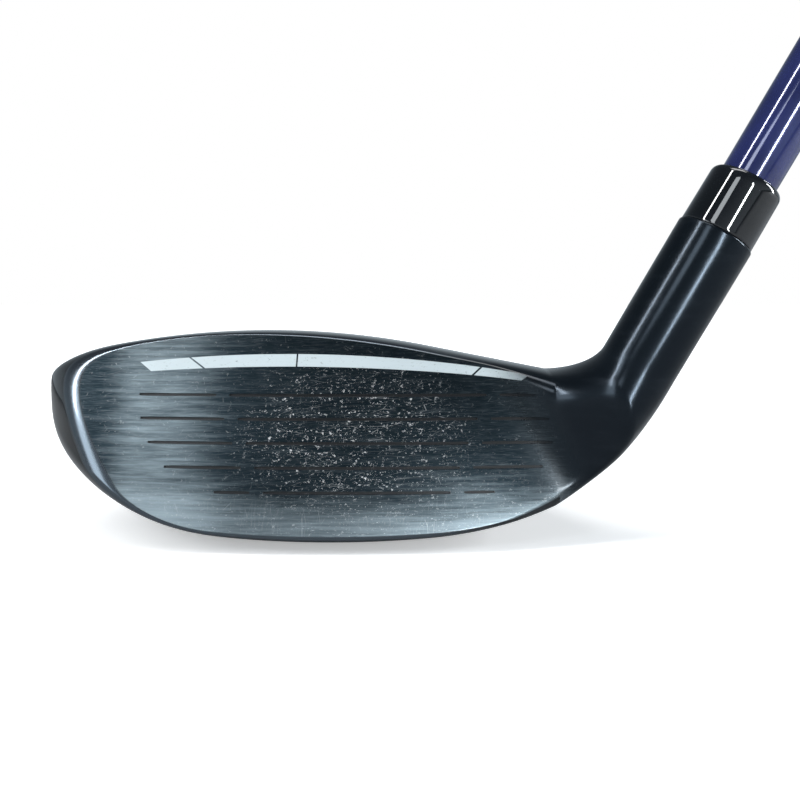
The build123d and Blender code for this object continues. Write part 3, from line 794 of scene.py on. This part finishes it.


# %% [markdown]
# ## The head's finish
# The skirt and the crown are black lacquer over steel. The face is left as dark brushed steel, with a
# white alignment stripe near its top edge and lines that are filled with black. Its rim is polished.
# Play has left bright nicks in the middle, and wear towards the lower edge; along the heel's lower edge that band
# is lightened further as a painted highlight. The neck is satin black.
# One group works out these zones, and all three pieces of the head use it, so that nothing changes
# where they meet.

# %% Zones of the head
ZONE_NAMES = ("Face", "Rim", "Neck", "Stripe", "Line")
ZONES, _, out = new_group("head_zones", [], [(zone, "Float") for zone in ZONE_NAMES])
RIM_EDGE = (1.1, 1.5)                         # millimetres inside the outline where the rim ends
x, y, z = add(ZONES, "SeparateXYZ", {0: use(ZONES, PLACE)["Place"]}).outputs
inner = add(ZONES, "Attribute", attribute_name="inside_face").outputs["Fac"]
deep = add(ZONES, "Attribute", attribute_name="line_depth").outputs["Fac"]
rim = times(ZONES, step(ZONES, inner, -1.3, -0.7), step(ZONES, inner, *RIM_EDGE, 1.0, 0.0))
ZONES.links.new(step(ZONES, plus(ZONES, x, times(ZONES, z, 0.35)), 33.0, 47.0), out.inputs["Neck"])
ZONES.links.new(step(ZONES, inner, *RIM_EDGE), out.inputs["Face"])
ZONES.links.new(times(ZONES, rim, step(ZONES, x, 5.0, 30.0, 1.0, 0.0)), out.inputs["Rim"])
ZONES.links.new(step(ZONES, deep, 0.15, 0.5), out.inputs["Line"])

# %% [markdown]
# The alignment stripe is a curved band near the top of the face. Its outline comes from distances: how
# far above the band's middle a point lies, and how far from its two slanted ends. Three thin gaps cross
# it, two slanted and one upright.

# %% Stripe
STRIPE_X, STRIPE_Z, STRIPE_HALF = -9.0, 31.2, 1.08
STRIPE_ENDS, STRIPE_SLANT = (-34.5, 31.2), 1.2
STRIPE_GAPS = ((-25.4, -1.33, 0.17), (23.0, 1.0, 0.17), (-8.0, 0.05, 0.1))    # place, slant, half width
SOFT_EDGE = 0.06
off_middle = minus(ZONES, x, STRIPE_X)
drop = times(ZONES, off_middle, off_middle)
above = minus(ZONES, z, minus(ZONES, STRIPE_Z, times(ZONES, drop, 0.0018)))
slanted = times(ZONES, above, STRIPE_SLANT)
half = minus(ZONES, STRIPE_HALF, times(ZONES, drop, 0.0003))
stripe = step(ZONES, minus(ZONES, half, calc(ZONES, "ABSOLUTE", above)), 0.0, SOFT_EDGE)
toe_side = step(ZONES, plus(ZONES, minus(ZONES, x, STRIPE_ENDS[0]), slanted), 0.0, SOFT_EDGE)
heel_side = step(ZONES, minus(ZONES, plus(ZONES, STRIPE_ENDS[1], slanted), x), 0.0, SOFT_EDGE)
stripe = times(ZONES, stripe, toe_side, heel_side)
for place, slant, width in STRIPE_GAPS:
    off = calc(ZONES, "ABSOLUTE", minus(ZONES, x, plus(ZONES, place, times(ZONES, above, slant))))
    stripe = times(ZONES, stripe, step(ZONES, off, width, width + 0.08))
ZONES.links.new(stripe, out.inputs["Stripe"])
print("stripe with", len(STRIPE_GAPS), "gaps")


# %% Where the face has wear, where a highlight is painted, and its marks
def wear_and_highlight_places(tree, x, z):
    """Masks of where the ball strikes, of the lower edge's wear together with a painted highlight along the heel's
    lower edge, and of the toe half.
    """
    aside = times(tree, minus(tree, x, 2.0), 0.055)
    higher = times(tree, minus(tree, z, 19.0), 0.085)
    reach = plus(tree, times(tree, aside, aside), times(tree, higher, higher))
    struck = step(tree, reach, 0.15, 1.6, 1.0, 0.0)
    inner = add(tree, "Attribute", attribute_name="inside_face").outputs["Fac"]
    low = step(tree, plus(tree, z, times(tree, x, 0.04)), 3.0, 12.0, 1.0, 0.0)
    # Painted highlight: near the face's outline on the heel side, below its middle, the steel is lightened as a
    # painted reflection of the floor, and this joins the lower edge's wear in low.
    painted_heel_highlight = times(tree, step(tree, inner, 2.5, 8.0, 1.0, 0.0), step(tree, x, 0.0, 24.0))
    low = largest(tree, low, times(tree, painted_heel_highlight, step(tree, z, 11.0, 19.0, 1.0, 0.0)))
    toe = times(tree, step(tree, x, -44.0, -35.0), step(tree, x, -30.0, -15.0, 1.0, 0.0))
    return struck, low, toe


def lifted(tree, mask, amount, least=0.0):
    """Least where the mask is 0, and amount more where it is 1."""
    return plus(tree, times(tree, mask, amount), least)


def face_marks(tree, mm, fine_nicks, struck, low):
    nicks = use(tree, NICKS, Place=mm, Density=0.95, Size=0.7)["Mask"]
    flat_scratch = use(tree, SCRATCHES, Place=mm, Amount=0.9, Angle=0.12)["Mask"]
    steep_scratch = use(tree, SCRATCHES, Place=mm, Amount=0.8, Angle=1.45)["Mask"]
    fine = plus(tree, times(tree, struck, 0.8), times(tree, low, 0.5))
    marks = largest(tree, times(tree, nicks, lifted(tree, struck, 0.9, 0.12)), times(tree, fine_nicks, fine))
    marks = largest(tree, marks, times(tree, flat_scratch, lifted(tree, struck, 0.5, 0.1)))
    return largest(tree, marks, times(tree, steep_scratch, low, 0.55), clamp=True)


# %% Colours of the face's steel, and of the lacquer and the neck
# The second steel colour stands for wear, and also for the painted highlight along the heel's lower edge.
DARK_STEEL, WEAR_AND_HIGHLIGHT_STEEL, BRUSH_TOPS = (0.013, 0.021, 0.027), (0.30, 0.36, 0.39), (0.34, 0.38, 0.40)
BARE_MARK, LINE_BLACK, STRIPE_WHITE = (0.75, 0.76, 0.76), (0.004, 0.004, 0.005), (0.46, 0.52, 0.54)
LACQUER, LACQUER_GREEN, DUST_GREY = (0.0035, 0.004, 0.005), (0.007, 0.013, 0.013), (0.4, 0.42, 0.45)
NECK_DARK, NECK_LIGHT, RIM_STEEL = (0.010, 0.015, 0.021), (0.015, 0.021, 0.028), (0.10, 0.12, 0.14)


def steel_colour(tree, brushed, coarse, low, toe, marks, line, paint):
    """Dark where the coating is whole, lighter where it has wear and where a highlight is painted at the heel's
    lower edge, with marks, lines and stripe on it.
    """
    # This lightening is wear, and along the heel's lower edge a painted highlight.
    wear_and_painted_sheen = plus(tree, times(tree, coarse, 0.55), plus(tree, times(tree, low, 0.42), times(tree, toe, 0.28)))
    colour = mix_colour(tree, step(tree, wear_and_painted_sheen, 0.25, 1.1), DARK_STEEL, WEAR_AND_HIGHLIGHT_STEEL)
    tops = times(tree, step(tree, brushed, 0.45, 0.8), lifted(tree, wear_and_painted_sheen, 0.25, 0.04))
    colour = mix_colour(tree, tops, colour, BRUSH_TOPS)
    colour = mix_colour(tree, marks, colour, BARE_MARK)
    colour = mix_colour(tree, times(tree, line, 0.94), colour, LINE_BLACK)
    return mix_colour(tree, paint, colour, STRIPE_WHITE)


def coated_colour(tree, green, dust, zone):
    """Black lacquer with a green depth, a satin neck and a polished rim."""
    lacquer = mix_colour(tree, green, LACQUER, LACQUER_GREEN)
    lacquer = mix_colour(tree, times(tree, dust, 0.10), lacquer, DUST_GREY)
    neck = mix_colour(tree, step(tree, green, 0.0, 1.0), NECK_DARK, NECK_LIGHT)
    colour = mix_colour(tree, zone["Neck"], lacquer, neck)
    return mix_colour(tree, times(tree, zone["Rim"], 0.9), colour, RIM_STEEL)


# %% Head material
def head_material(name):
    made, tree, shader, mm = new_material(name, Specular_IOR_Level=0.4, Coat_Roughness=0.06)
    zone = use(tree, ZONES)
    x, y, z = add(tree, "SeparateXYZ", {0: mm}).outputs
    brushed = use(tree, BRUSHING, Place=mm, Fineness=7.0, Length=14.0)["Height"]
    coarse = use(tree, BRUSHING, Place=mm, Fineness=1.6, Length=20.0)["Height"]
    fine_nicks = use(tree, NICKS, Place=stretch(tree, mm, (0.55, 1.0, 1.0)), Density=1.0, Size=0.3)["Mask"]
    dust = use(tree, DUST, Place=mm, Amount=0.35)["Mask"]
    green = step(tree, noise(tree, stretch(tree, mm, (0.12, 0.1, 0.5)), 1.0, 4.0, 0.7), 0.45, 0.8)
    # low holds the wear along the lower edge together with the painted highlight along the heel's lower edge.
    struck, low, toe = wear_and_highlight_places(tree, x, z)
    marks = face_marks(tree, mm, fine_nicks, struck, low)
    paint = times(tree, zone["Stripe"], minus(tree, 1.0, times(tree, fine_nicks, 0.5)))
    front = times(tree, zone["Face"], minus(tree, 1.0, zone["Neck"]))
    # colour
    steel = steel_colour(tree, brushed, coarse, low, toe, marks, zone["Line"], paint)
    colour = mix_colour(tree, front, coated_colour(tree, green, dust, zone), steel)
    tree.links.new(colour, shader.inputs["Base Color"])
    # bare metal on the face, most of it on the rim and the neck
    bare = times(tree, front, minus(tree, 1.0, largest(tree, paint, zone["Line"])))
    partly = largest(tree, times(tree, zone["Rim"], 0.9), times(tree, zone["Neck"], 0.7))
    tree.links.new(largest(tree, bare, partly, clamp=True), shader.inputs["Metallic"])
    # gloss
    rough = mix_value(tree, dust, 0.07, 0.3)
    rough = mix_value(tree, zone["Neck"], rough, lifted(tree, green, 0.08, 0.18))
    rough = mix_value(tree, zone["Rim"], rough, 0.18)
    face_rough = mix_value(tree, largest(tree, marks, paint), lifted(tree, brushed, 0.22, 0.25), 0.55)
    tree.links.new(mix_value(tree, front, rough, face_rough), shader.inputs["Roughness"])
    lacquered = minus(tree, 1.0, largest(tree, front, zone["Neck"]))
    tree.links.new(times(tree, lacquered, 0.2), shader.inputs["Coat Weight"])
    # brushing and marks on the face, ripple elsewhere
    ripple = use(tree, RIPPLE, Place=mm, Size=3.5)["Height"]
    height = plus(tree, times(tree, brushed, front, 0.35), times(tree, marks, -0.4))
    height = plus(tree, height, times(tree, ripple, minus(tree, 0.5, times(tree, front, 0.5))))
    tree.links.new(bump(tree, height, 0.35, 0.02), shader.inputs["Normal"])
    return made


HEAD_FINISH = head_material("dark_steel_and_black_lacquer")
for piece in (body, face, crown):
    piece.data.materials.clear()
    piece.data.materials.append(HEAD_FINISH)
print("head finish:", len(HEAD_FINISH.node_tree.nodes), "nodes")

# %% [markdown]
# ## The other finishes
# The ferrule is a polished plastic ring, and the shaft is carbon fibre under a deep navy lacquer. The
# weight and its screw are machined metal. The slot's filler, the badge and the grip are polymer and
# rubber. Each one gets its own colour, and the shared effects at its own size.


# %% A simple finish with two tones, dust and a fine height
SCRATCH_LIFT = 2.2      # how much lighter a scratch is than the lighter tone


def finish(name, dark, light, rough, metal=0.0, coat=0.0, size=1.0, height=0.2, streak=0.0, dusty=0.2,
           marks=0.2):
    """Brushed where streak gives its fineness, and softly rippled at the given size where it is 0."""
    made, tree, shader, mm = new_material(name, Metallic=metal, Coat_Weight=coat, Coat_Roughness=0.05)
    if streak:
        grain = use(tree, BRUSHING, Place=mm, Fineness=streak, Length=10.0)["Height"]
    else:
        grain = use(tree, RIPPLE, Place=mm, Size=size)["Height"]
    dust = use(tree, DUST, Place=mm, Amount=dusty)["Mask"]
    scratch = times(tree, use(tree, SCRATCHES, Place=mm, Amount=0.6, Angle=0.9)["Mask"], marks)
    colour = mix_colour(tree, step(tree, grain, 0.3, 0.7), dark, light)
    colour = mix_colour(tree, times(tree, dust, 0.3), colour, (0.45, 0.45, 0.44))
    colour = mix_colour(tree, scratch, colour, tuple(min(1.0, SCRATCH_LIFT * part + 0.1) for part in light))
    tree.links.new(colour, shader.inputs["Base Color"])
    dulled = mix_value(tree, dust, rough, min(rough + 0.3, 1.0))
    gloss = calc(tree, "ADD", dulled, times(tree, scratch, 0.2), clamp=True)
    tree.links.new(gloss, shader.inputs["Roughness"])
    tree.links.new(bump(tree, minus(tree, grain, scratch), height, 0.03), shader.inputs["Normal"])
    return made


# %% One finish for each other node
FINISHES = {
    "ferrule": finish(
        "polished_black_plastic", (0.003, 0.004, 0.005), (0.005, 0.006, 0.008),
        0.05, coat=0.5, size=6.0, height=0.006, dusty=0.05, marks=0.02,
    ),
    "shaft": finish(
        "navy_lacquer", (0.014, 0.019, 0.085), (0.024, 0.031, 0.125),
        0.12, metal=0.25, coat=0.8, size=8.0, height=0.006, dusty=0.05, marks=0.03,
    ),
    "grip_sleeve": finish(
        "grip_rubber", (0.012, 0.012, 0.013), (0.024, 0.024, 0.025),
        0.6, size=0.5, height=0.4, dusty=0.2, marks=0.0,
    ),
    "grip_cap": finish(
        "cap_rubber", (0.014, 0.014, 0.015), (0.022, 0.022, 0.024),
        0.55, size=0.8, height=0.3, dusty=0.2, marks=0.1,
    ),
    "slot_insert": finish(
        "slot_polymer", (0.010, 0.011, 0.012), (0.020, 0.021, 0.023),
        0.5, size=0.6, height=0.35,
    ),
    "sole_badge": finish(
        "badge_plastic", (0.016, 0.022, 0.045), (0.028, 0.035, 0.065),
        0.3, coat=0.4, streak=4.0, height=0.2,
    ),
    "toe_mass": finish(
        "sintered_tungsten", (0.11, 0.11, 0.115), (0.19, 0.19, 0.2),
        0.5, metal=1.0, size=0.3, height=0.5,
    ),
    "sole_weight": finish(
        "machined_weight", (0.30, 0.31, 0.33), (0.42, 0.43, 0.45),
        0.28, metal=1.0, streak=9.0, height=0.2,
    ),
    "weight_pad": finish(
        "pad_rubber", (0.02, 0.02, 0.02), (0.035, 0.035, 0.035),
        0.8, size=0.4, height=0.4,
    ),
    "weight_screw": finish(
        "blackened_screw", (0.035, 0.036, 0.04), (0.06, 0.062, 0.066),
        0.3, metal=1.0, size=0.5, height=0.2, marks=0.5,
    ),
    "weight_clip": finish(
        "spring_steel", (0.22, 0.22, 0.23), (0.32, 0.32, 0.33),
        0.3, metal=1.0, streak=12.0, height=0.2,
    ),
    "hosel_stop": finish(
        "stop_aluminium", (0.45, 0.46, 0.47), (0.6, 0.6, 0.61),
        0.4, metal=1.0, streak=6.0, height=0.2,
    ),
    "bond_epoxy": finish(
        "cured_epoxy", (0.35, 0.27, 0.14), (0.45, 0.36, 0.2),
        0.35, size=1.5, height=0.3,
    ),
    "tip_weight": finish(
        "turned_brass", (0.42, 0.28, 0.10), (0.58, 0.41, 0.17),
        0.3, metal=1.0, streak=10.0, height=0.2,
    ),
    "grip_tape": finish(
        "paper_tape", (0.52, 0.50, 0.44), (0.66, 0.64, 0.57),
        0.75, size=0.7, height=0.4,
    ),
}
REBUILT = {"ferrule": ferrule, "shaft": shaft, "grip_sleeve": grip, "grip_cap": cap}
for node, material in FINISHES.items():
    target = REBUILT.get(node, NODES[node])
    target.data.materials.clear()
    target.data.materials.append(material)
print(len(FINISHES), "other finishes")

# %% [markdown]
# ## Camera
# The camera stands close to the club and a little above the face's middle, as someone's eye does when
# they hold the club up to look at its face. Its aim comes from the head's own box.

# %% Camera
CAMERA_DROP = math.radians(6.745)             # how far the camera looks down
CAMERA_DISTANCE = 150.0
aim = Vector((HEAD_LOW.x + 64.3, SHAFT_Y - 0.85, HEAD_LOW.z + 25.0)) * MM
camera = bpy.data.objects.new("camera", bpy.data.cameras.new("camera"))
bpy.context.scene.collection.objects.link(camera)
backward = Vector((0, -math.cos(CAMERA_DROP), math.sin(CAMERA_DROP)))
camera.location = aim + CAMERA_DISTANCE * MM * backward
camera.rotation_euler = (math.pi / 2 - CAMERA_DROP, 0, 0)
camera.data.lens = 40.5
camera.data.clip_start = 0.01
bpy.context.scene.camera = camera
print("camera at", [round(v, 3) for v in camera.location])

# %% [markdown]
# ## Light and floor
# Black lacquer shows nothing but what it reflects. A large soft box and a window stand on the toe side
# and light the brushed steel. Narrow strips on both sides and a tall window in front of the heel draw
# the long streaks on the round pieces, a box above lights the crown, and a dim room, paler below, fills
# the rest. The floor is plain and pale. The camera sees the room and the far floor as white, while the
# lacquer reflects them darker, so that the edges of the club stand out.


# %% Lights
def soft_light(name, where, at, size, watts, colour=(1, 1, 1)):
    lamp = bpy.data.lights.new(name, "AREA")
    lamp.shape = "RECTANGLE"
    lamp.size, lamp.size_y = size
    lamp.energy, lamp.color = watts, colour
    made = bpy.data.objects.new(name, lamp)
    bpy.context.scene.collection.objects.link(made)
    made.location = where
    made.rotation_euler = (Vector(at) - Vector(where)).to_track_quat("-Z", "Y").to_euler()
    return made


soft_light("toe_box", (-1.25, -0.70, 0.42), (0, 0, 0.02), (0.45, 0.75), 5, (0.88, 0.95, 1.0))
soft_light("toe_window", (-0.66, -1.12, 0.86), (-0.02, 0, 0.02), (0.30, 0.42), 2.4, (0.9, 0.96, 1.0))
soft_light("heel_window", (0.30, -1.05, 0.20), (0.04, 0, 0.03), (0.07, 0.42), 5.6, (0.92, 0.97, 1.0))
soft_light("top_box", (0.0, -0.1, 1.6), (0, 0, 0.03), (1.0, 0.5), 9)
soft_light("heel_strip", (0.9, -0.12, 0.25), (0.03, 0, 0.03), (0.12, 0.55), 9, (0.93, 0.97, 1.0))
soft_light("left_strip", (-0.5, -0.25, 0.55), (0.04, 0, 0.05), (0.05, 0.7), 4)

# %% Room
world = bpy.data.worlds.new("pale_room")
bpy.context.scene.world = world
world.use_nodes = True
tree = world.node_tree
sky = tree.nodes["Background"]
up = add(tree, "SeparateXYZ", {0: add(tree, "TexCoord").outputs["Generated"]}).outputs[2]
room = mix_colour(tree, step(tree, up, -0.1, 0.7), (0.46, 0.53, 0.58), (0.07, 0.085, 0.10))
seen = add(tree, "LightPath").outputs["Is Camera Ray"]
tree.links.new(mix_colour(tree, seen, room, (1.0, 1.0, 1.0)), sky.inputs["Color"])
sky.inputs["Strength"].default_value = 1.0
bpy.context.scene.view_settings.view_transform = "Standard"

# %% Floor
FLOOR_HALF, FLOOR_GAP = 3000.0, 0.3
floor_rows = [[(x, y, HEAD_LOW.z - FLOOR_GAP) for x in (-FLOOR_HALF, FLOOR_HALF)]
              for y in (-FLOOR_HALF, FLOOR_HALF)]
floor = grid_mesh("floor", floor_rows, closed=False, caps=False)
paper, tree, shader, mm = new_material("pale_paper", Roughness=0.9, Specular_IOR_Level=0.1)
seen = add(tree, "LightPath").outputs["Is Camera Ray"]
pale = mix_colour(tree, noise(tree, mm, 0.02), (0.93, 0.93, 0.93), (0.96, 0.96, 0.96))
tree.links.new(mix_colour(tree, seen, (0.35, 0.36, 0.37), pale), shader.inputs["Base Color"])
away = add(tree, "VectorMath", {0: mm}, operation="LENGTH").outputs["Value"]
glow = times(tree, seen, step(tree, away, 60.0, 700.0, 0.35, 1.0))
glow_colour = mix_colour(tree, glow, (0.0, 0.0, 0.0), (0.9, 0.9, 0.9))
tree.links.new(glow_colour, shader.inputs["Emission Color"])
shader.inputs["Emission Strength"].default_value = 1.1
floor.data.materials.append(paper)
print("floor", FLOOR_HALF * 2 * MM, "m wide")
